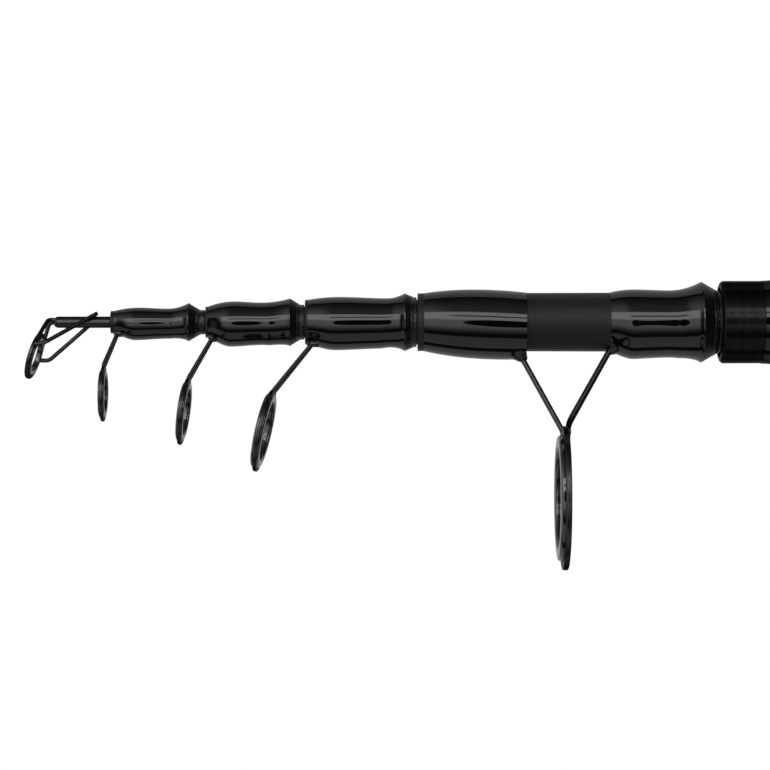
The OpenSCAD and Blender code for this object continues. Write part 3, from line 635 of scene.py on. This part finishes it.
wrapSizes = {
    "section2_wrap": {"lip": 1.1, "barrelAt": 7.0, "barrel": 0.92, "waist": 0.62, "ridge": 2.2,
                      "tail": 0.2, "rise": 6.0, "cone": 3.3, "tailLength": 1.2, "swell": 0.75},
    "section3_wrap": {"lip": 0.7, "barrelAt": 7.5, "barrel": 1.44, "waist": 1.09, "ridge": 2.3,
                      "tail": 0.45, "rise": 8.2, "cone": 2.9, "tailLength": 1.1, "swell": 0.82},
    "section4_wrap": {"lip": 0.8, "barrelAt": 9.0, "barrel": 0.82, "waist": 0.42, "ridge": 1.8,
                      "tail": 0.65, "rise": 5.1, "cone": 2.6, "tailLength": 0.7, "swell": 0.6},
    "section5_rear_wrap": {"lip": 54.8, "barrelAt": 6.5, "barrel": 0.86, "waist": 0.58, "ridge": 3.0,
                           "tail": 0.3, "rise": 9.0, "cone": 4.6, "tailLength": 0.3, "swell": 0.9},
}
frontWrap = {"lip": 1.8, "end": 30.85, "crest": 0.45, "barrel": 1.0, "swell": 1.15}
crown = {"half": 0.28, "shoulder": 0.2}  # the ridge's round top, and how far it drops in front as a share
hang = {"rest": 0.6, "lead": 0.4, "end": 0.95, "steep": 3, "riseOver": 0.28}  # how far the finish hangs low
threadRib = {"pitch": 0.8, "height": 0.06, "share": 0.35}  # bare thread on the last share of the cone


def wrapRings(node, lip, points, swells):
    # outline points in mm from the wrap's front edge, turned into rings and closed inside along the blank
    section = node.split("_")[0]
    blank = coneOf(section + "_blank")
    rings = []
    for (along, height), sag in zip(points, swells):
        x = (frontOf(section) + lip + along) * mm
        rings.append((x, blank(x) + (height + sag) * mm, sag * mm))
    for x in (rings[-1][0], rings[0][0]):
        rings.append((x, blank(x) + glue * mm, 0.0))
    return rings


def ridgedWrap(node, size):
    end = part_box(node)[1].x / mm - frontOf(node.split("_")[0]) - size["lip"]
    tail = end - size["tailLength"]
    ridge = tail - size["cone"]
    waist = ridge - size["rise"]
    fall = (size["ridge"] - size["tail"]) / size["cone"]
    points = drawOutline([
        (0, 2 * glue, swellOut),
        (size["barrelAt"], size["barrel"], blendOver),
        (waist, size["waist"], climbUp),
        (ridge - crown["half"], size["ridge"] - crown["shoulder"] * crown["half"], swellOut),
        (ridge, size["ridge"], climbUp),
        (ridge + crown["half"], size["ridge"] - fall * crown["half"], runRibbed),
        (tail, size["tail"], runRibbed),
        (end, size["tail"], runStraight),
    ])
    ribsFrom = tail - threadRib["share"] * size["cone"]

    def ribAt(along):
        if not ribsFrom < along < end:
            return 0.0
        return threadRib["height"] * abs(math.sin(math.pi * (along - ribsFrom) / threadRib["pitch"]))

    def sagAt(along):
        u = along / ridge
        share = min(hang["rest"] + hang["lead"] * (1 - u) ** 4, hang["steep"] * (hang["end"] - u))
        return size["swell"] * max(0, share) * blendOver(min(1, u / hang["riseOver"]))

    points = [(along, high + ribAt(along)) for along, high in points]
    wrap = coatWrap(node, size["lip"], points, [sagAt(p[0]) for p in points])
    edge = frontOf(node.split("_")[0]) + size["lip"]
    for slot, finish, along in ((1, coneResin, ridge + crown["half"] / 2), (2, bareThread, ribsFrom)):
        wrap.data.materials.append(finish)
        for face in wrap.data.polygons:
            if face.center.x > (edge + along) * mm:
                face.material_index = slot


def coatWrap(node, lip, points, swells):
    sleeve = pullRings(node.replace("_", "-"), wrapRings(node, lip, points, swells))
    return settle(runDown(sleeve, *legOf[node], coneOf(node.split("_")[0] + "_blank")), node)


for node, size in wrapSizes.items():
    ridgedWrap(node, size)

length = frontWrap["end"] - frontWrap["lip"]
points = drawOutline([
    (0, 2 * glue, swellOut),
    (length * frontWrap["crest"], frontWrap["barrel"], climbUp),
    (length, 2 * glue, climbUp),
])
swells = [frontWrap["swell"] * p[0] / length for p in points]
coatWrap("section5_front_wrap", frontWrap["lip"], points, swells)
print("wraps pulled")


# Handle

def shape(piece, radiusAt):
    # every point of a turned piece is set out or in from the axis,
    # by its x, radius and angle from straight down
    for vertex in piece.data.vertices:
        x, y, z = vertex.co
        radius = math.hypot(y, z)
        grown = radiusAt(x / mm, radius / mm, math.degrees(math.atan2(y, -z))) / (radius / mm)
        vertex.co = (x, y * grown, z * grown)
    return piece


def fadeOut(value, start, end):
    return 1 - blendOver(min(1, max(0, (value - start) / (end - start))))


def turnPiece(name, outline, capped=False, sides=144):
    return pullRings(name, [(x * mm, radius * mm, 0.0) for x, radius in outline], sides, capped)


def screwThread(start, end, crest, depth, pitch):
    # a trapezium drawn at the start, then screwed along the axis
    clearSelection()
    bpy.ops.mesh.primitive_plane_add(size=1, location=(start * mm, 0, (crest - depth / 2) * mm),
                                     rotation=(math.pi / 2, 0, 0))
    ridge = bpy.context.object
    ridge.scale = (threadForm["foot"] * pitch * mm, depth * mm, 1)
    bpy.ops.object.transform_apply(location=True, rotation=True, scale=True)
    editAll()
    bpy.ops.mesh.select_all(action="DESELECT")
    bpy.ops.object.mode_set(mode="OBJECT")
    for vertex in ridge.data.vertices:
        vertex.select = vertex.co.z > (crest - depth / 2) * mm
    bpy.ops.object.mode_set(mode="EDIT")
    bpy.ops.transform.resize(value=(threadForm["crest"], 1, 1), center_override=(start * mm, 0, crest * mm))
    bpy.ops.mesh.select_all(action="SELECT")
    bpy.ops.mesh.delete(type="ONLY_FACE")
    bpy.ops.object.mode_set(mode="OBJECT")
    turns = ridge.modifiers.new("turns", "SCREW")
    turns.axis = "X"
    turns.screw_offset = pitch * mm
    turns.iterations = int((end - start) / pitch)
    turns.steps = turns.render_steps = threadForm["steps"]
    bpy.ops.object.modifier_apply(modifier="turns")
    editAll()
    bpy.ops.mesh.remove_doubles(threshold=1e-6)
    bpy.ops.mesh.select_mode(type="EDGE")
    bpy.ops.mesh.select_all(action="DESELECT")
    bpy.ops.mesh.select_non_manifold()
    bpy.ops.mesh.fill_holes(sides=0)
    bpy.ops.mesh.select_all(action="SELECT")
    bpy.ops.mesh.normals_make_consistent(inside=False)
    bpy.ops.object.mode_set(mode="OBJECT")
    return ridge


def boxBetween(low, high):
    clearSelection()
    bpy.ops.mesh.primitive_cube_add(size=1, location=(low + high) / 2 * mm)
    box = bpy.context.object
    box.scale = (high - low) * mm
    bpy.ops.object.transform_apply(location=True, rotation=True, scale=True)
    return box


def cutAway(piece, low, high):
    box = boxBetween(low, high)
    clearSelection()
    piece.select_set(True)
    bpy.context.view_layer.objects.active = piece
    groove = piece.modifiers.new("groove", "BOOLEAN")
    groove.operation = "DIFFERENCE"
    groove.solver = "EXACT"
    groove.object = box
    bpy.ops.object.modifier_apply(modifier="groove")
    bpy.data.objects.remove(box)
    return piece


seat = {"radius": 14.0, "edge": 0.3, "threadEnd": 38.0, "threadDepth": 0.6, "pitch": 2.0,
        "keyWide": 5.0, "keyDeep": 0.8, "keyEnd": 94.0}
hood = {"wall": 2.2, "edge": 0.5, "roof": 5.6, "risesTo": 13.0, "roofEdge": (24, 66),
        "pocketDeep": 12.0, "pocketEdge": (25, 38), "keyGap": 0.15, "steps": 32}
# a thread's form: shares of the pitch, the foot and the depth, and the steps in a turn
threadForm = {"foot": 0.72, "crest": 0.3, "sunk": 1.2, "steps": 72}
plug = {"head": 7.56, "chamfer": 0.9, "threadDepth": 0.5, "pitch": 1.5, "knurls": 36, "knurlDepth": 0.16,
        "knurlFrom": 1.3}  # last value in chamfers
bumper = {"wall": 2.83, "round": 5.67, "steps": 16}

# reel seat barrel: its front part carries the lock nut's thread, and a key groove runs along the top
low, high = (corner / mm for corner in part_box("seat_barrel"))
butt = coneOf("butt_blank")
root = seat["radius"] - seat["threadDepth"]
shoulder = low.x + seat["threadEnd"]
barrel = turnPiece("seat-barrel", [
    (low.x, root - seat["edge"]), (low.x + seat["edge"], root), (shoulder, root),
    (shoulder + seat["threadDepth"], seat["radius"]), (high.x - seat["edge"], seat["radius"]),
    (high.x, seat["radius"] - seat["edge"]), (high.x, butt(high.x * mm) / mm + glue),
    (low.x, butt(low.x * mm) / mm + glue)])
thread = screwThread(low.x + seat["pitch"] / 2, shoulder, seat["radius"],
                     threadForm["sunk"] * seat["threadDepth"], seat["pitch"])
grooveLow = at(low.x - 1, -seat["keyWide"] / 2, seat["radius"] - seat["keyDeep"])
grooveHigh = at(low.x + seat["keyEnd"], seat["keyWide"] / 2, seat["radius"] + 1)
grooved = [cutAway(piece, grooveLow, grooveHigh) for piece in (barrel, thread)]
settle(joinAll("seat-barrel", grooved), "seat_barrel", 35)


def hoodSleeve(node, collarX, mouthX):
    way = 1 if mouthX > collarX else -1
    long = abs(mouthX - collarX)
    bore, collar, edge = seat["radius"] + 2 * glue, seat["radius"] + hood["wall"], hood["edge"]
    pocketAt = long - hood["pocketDeep"]
    outline = [(0, collar - edge), (edge / 3, collar - edge / 3), (edge, collar)]
    step = (long - 2 * edge) / hood["steps"]
    outline += [(edge + step * k, collar) for k in range(1, hood["steps"] + 1)]
    outline += [(long - edge / 3, collar - edge / 3), (long, collar - edge)]
    outline += [(long, bore), (pocketAt + glue, bore), (pocketAt, bore), (0, bore)]

    def radiusAt(x, radius, angle):
        along = (x - collarX) * way
        if radius > bore + edge:
            rise = 1 - fadeOut(along, edge, hood["risesTo"])
            return radius + hood["roof"] * rise * fadeOut(abs(angle), *hood["roofEdge"])
        if along > pocketAt + glue / 2:
            return radius + hood["roof"] * fadeOut(abs(angle), *hood["pocketEdge"])
        return radius

    sleeve = turnPiece(node.replace("_", "-"), [(collarX + way * along, r) for along, r in outline])
    return shape(sleeve, radiusAt)


low, high = (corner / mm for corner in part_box("fixed_hood"))
settle(hoodSleeve("fixed_hood", high.x, low.x), "fixed_hood", 35)
low, high = (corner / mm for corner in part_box("sliding_hood"))
keyHalf = seat["keyWide"] / 2 - hood["keyGap"]
key = boxBetween(at(low.x, -keyHalf, seat["radius"] - seat["keyDeep"] + hood["keyGap"]),
                 at(high.x - hood["pocketDeep"], keyHalf, seat["radius"] + hood["wall"] / 2))
sleeve = hoodSleeve("sliding_hood", low.x, high.x)
settle(joinAll("sliding-hood", [sleeve, key]), "sliding_hood", 35)

# butt plug with its screw thread and a finely knurled head, and the rubber bumper behind it
low, high = (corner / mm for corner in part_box("butt_plug"))
crest, headRadius = coneOf("butt_plug")(low.x * mm) / mm, high.z
root = crest - plug["threadDepth"]
chamfer = plug["chamfer"]
knurlStart = plug["head"] + plug["knurlFrom"] * chamfer
knurlEnd = high.x - plug["knurlFrom"] * chamfer
outline = [(low.x, root - chamfer / 2), (low.x + chamfer / 2, root), (plug["head"], root),
           (plug["head"], headRadius - chamfer), (plug["head"] + chamfer, headRadius),
           (knurlStart, headRadius), (knurlEnd, headRadius),
           (high.x - chamfer, headRadius), (high.x - chamfer / 2, headRadius),
           (high.x, headRadius - chamfer / 3)]


def knurl(x, radius, angle):
    if knurlStart - glue < x < knurlEnd + glue:
        return radius - plug["knurlDepth"] * (0.5 + 0.5 * math.cos(math.radians(angle) * plug["knurls"]))
    return radius


head = shape(turnPiece("butt-plug", outline, capped=True, sides=288), knurl)
thread = screwThread(low.x + plug["pitch"], plug["head"] - plug["pitch"], crest,
                     threadForm["sunk"] * plug["threadDepth"], plug["pitch"])
settle(joinAll("butt-plug", [head, thread]), "butt_plug", 35)

capEnd = high.x
low, high = (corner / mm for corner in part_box("butt_bumper"))
outline = [(capEnd + glue, high.z), (capEnd + bumper["wall"], high.z)]
for k in range(1, bumper["steps"] + 1):
    turn = math.pi / 2 * k / bumper["steps"]
    behind, inward = 1 - math.sin(turn), 1 - math.cos(turn)
    outline.append((high.x - bumper["round"] * behind, high.z - bumper["round"] * inward))
settle(turnPiece("butt-bumper", outline, capped=True), "butt_bumper", 40)
print("handle turned")


# Studio

view = {"aheadOfMouth": 95.5, "below": 17.94, "elevation": -22.0, "distance": 830.0, "across": 220.0,
        "sensor": 36}
lean = math.radians(view["elevation"])
toCamera = Vector((0, -math.cos(lean), math.sin(lean)))
upward = Vector((0, math.sin(lean), math.cos(lean)))
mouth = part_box("butt_blank")[0].x
aim = Vector((mouth - view["aheadOfMouth"] * mm, 0, 0)) - upward * view["below"] * mm
clearSelection()
bpy.ops.object.camera_add(location=aim + toCamera * view["distance"] * mm)
camera = bpy.context.object
camera.name = "photoCamera"
camera.rotation_euler = (-toCamera).to_track_quat("-Z", "Y").to_euler()
camera.data.sensor_width = view["sensor"]
camera.data.lens = view["sensor"] * view["distance"] / view["across"]
camera.data.clip_start = 0.01
bpy.context.scene.camera = camera

floorPaper = {"size": 60, "drop": 0.62, "glow": 0.6}
clearSelection()
bpy.ops.mesh.primitive_plane_add(size=floorPaper["size"], location=(0, 0, -floorPaper["drop"]))
floor = bpy.context.object
floor.name = "paleFloor"
floor.visible_glossy = False
finish, tree, shader = newFinish("floorPaper", {"Roughness": 0.95, "IOR": 1.2})
cloud = grains(tree, onPiece(tree), 3)
feed(tree, shader, Base_Color=tone(tree, cloud, (0.86, 0.86, 0.86), (0.9, 0.9, 0.9)))
glow = addNode(tree, "ShaderNodeEmission", {}, {"Color": (1, 1, 1, 1), "Strength": 1.0})
clear = addNode(tree, "ShaderNodeBsdfTransparent", {}, {})
seen = addNode(tree, "ShaderNodeLightPath", {}, {})
underneath = addNode(tree, "ShaderNodeNewGeometry", {}, {}, output=6)
lit = Channel(tree, shader.outputs[0])
paper = addNode(tree, "ShaderNodeMixShader", {}, {0: seen * floorPaper["glow"], 1: lit, 2: glow})
paper = addNode(tree, "ShaderNodeMixShader", {}, {0: underneath, 1: paper, 2: clear})  # clear from below
tree.links.new(paper.output, tree.nodes["Material Output"].inputs["Surface"])
floor.data.materials.append(finish)

# the dark round of the camera itself, which the wraps mirror; it is seen in reflections alone
lensCard = {"aside": 95.0, "over": 52.0, "behind": 20.0, "long": 380.0, "high": 330.0,
            "tipHigh": 0.35, "tipReach": 0.8}
clearSelection()
cardAt = aim + toCamera * (view["distance"] + lensCard["behind"]) * mm
cardAt += Vector((1, 0, 0)) * lensCard["aside"] * mm + upward * lensCard["over"] * mm
bpy.ops.mesh.primitive_circle_add(vertices=96, radius=0.5, fill_type="NGON", location=cardAt,
                                  rotation=camera.rotation_euler)
card = bpy.context.object
card.name = "lensCard"
card.scale = (lensCard["long"] * mm, lensCard["high"] * mm, 1)
editAll()
bpy.ops.mesh.select_all(action="DESELECT")
bpy.ops.object.mode_set(mode="OBJECT")
min(card.data.vertices, key=lambda v: v.co.x).select = True
bpy.ops.object.mode_set(mode="EDIT")
bpy.ops.transform.resize(value=(1, lensCard["tipHigh"], 1), center_override=cardAt,
                         use_proportional_edit=True,
                         proportional_size=lensCard["tipReach"] * lensCard["long"] * mm)
bpy.ops.object.mode_set(mode="OBJECT")
card.visible_camera = card.visible_diffuse = card.visible_shadow = False
finish, tree, shader = newFinish("lensCard", {"Roughness": 1.0, "Specular IOR Level": 0.0})
cloud = grains(tree, onPiece(tree), 8)
feed(tree, shader, Base_Color=tone(tree, cloud, (0.004, 0.004, 0.004), (0.007, 0.007, 0.007)))
card.data.materials.append(finish)

# a light tent: bands run along the rod, each between two angles from the camera's side, up over the top;
# angles aside count along the rod, towards the butt
tent = {
    "front": {"from": -33, "full": -2, "to": 39, "least": 0.1, "low": 1.4, "high": 1.65, "step": (8, 17),
              "aside": (30, 48)},
    "seam": {"from": 23.4, "to": 27.4, "tip": (-14, -8), "edge": 0.8, "depth": 0.95},  # a diffuser's edge
    "table": {"from": -86, "to": -46, "light": 0.5},
    "back": {"from": 102, "light": 0.46},
    "roof": {"from": 38, "to": 92, "light": 0.32, "far": 0.05, "leftward": (-6, -22), "gain": 3.0},
    "left": {"aside": (-48, -62), "light": 1.0},
    "right": {"aside": (34, 52), "light": 0.3},
    "soft": 2.0, "dim": 0.02, "tint": (1, 0.985, 0.98, 1),
}


def lightTent():
    world = bpy.data.worlds.new("lightTent")
    bpy.context.scene.world = world
    world.use_nodes = True
    tree = world.node_tree
    tree.nodes.clear()
    ray = addNode(tree, "ShaderNodeTexCoord", {}, {})

    def along(axis):
        sockets = {0: ray, 1: axis}
        return addNode(tree, "ShaderNodeVectorMath", {"operation": "DOT_PRODUCT"}, sockets, output=1)

    degrees = 180 / math.pi
    over = along(upward).angleOver(along(toCamera)) * degrees
    aside = along((1, 0, 0)).arcsine() * degrees
    soft = tent["soft"]

    def between(angle, low, high, edge=soft):
        return angle.fade(low - edge, low + edge) * angle.fade(high - edge, high + edge, 1.0, 0.0)

    names = ("front", "seam", "table", "back", "roof", "left", "right")
    front, seam, table, back, roof, left, right = (tent[name] for name in names)
    line = between(over, seam["from"], seam["to"], seam["edge"]) * aside.fade(*seam["tip"])
    level = over.fade(front["from"], front["full"], front["least"], front["low"])
    level = level + over.fade(*front["step"], 0.0, front["high"])
    panel = between(over, front["from"], front["to"]) * abs(aside).fade(*front["aside"], 1.0, 0.0)
    light = panel * level * (1 - seam["depth"] * line)
    light = light + between(over, table["from"], table["to"]) * table["light"]
    light = light + abs(over).fade(back["from"] - soft, back["from"] + soft) * back["light"]
    fading = over.fade(roof["from"], roof["to"], roof["light"], roof["far"])
    glow = aside.fade(*roof["leftward"], 1.0, roof["gain"])
    light = light + between(over, roof["from"], roof["to"]) * fading * glow
    light = light * aside.fade(*right["aside"], 1.0, right["light"])
    light = light + aside.fade(*left["aside"]) * left["light"] + tent["dim"]
    lit = addNode(tree, "ShaderNodeBackground", {}, {"Color": tent["tint"], "Strength": light})
    white = addNode(tree, "ShaderNodeBackground", {}, {"Color": (1, 1, 1, 1), "Strength": 1.0})
    seen = addNode(tree, "ShaderNodeLightPath", {}, {})
    shown = addNode(tree, "ShaderNodeMixShader", {}, {0: seen, 1: lit, 2: white})
    addNode(tree, "ShaderNodeOutputWorld", {}, {"Surface": shown})


lightTent()
bpy.context.scene.view_settings.view_transform = "Standard"
print("studio set")
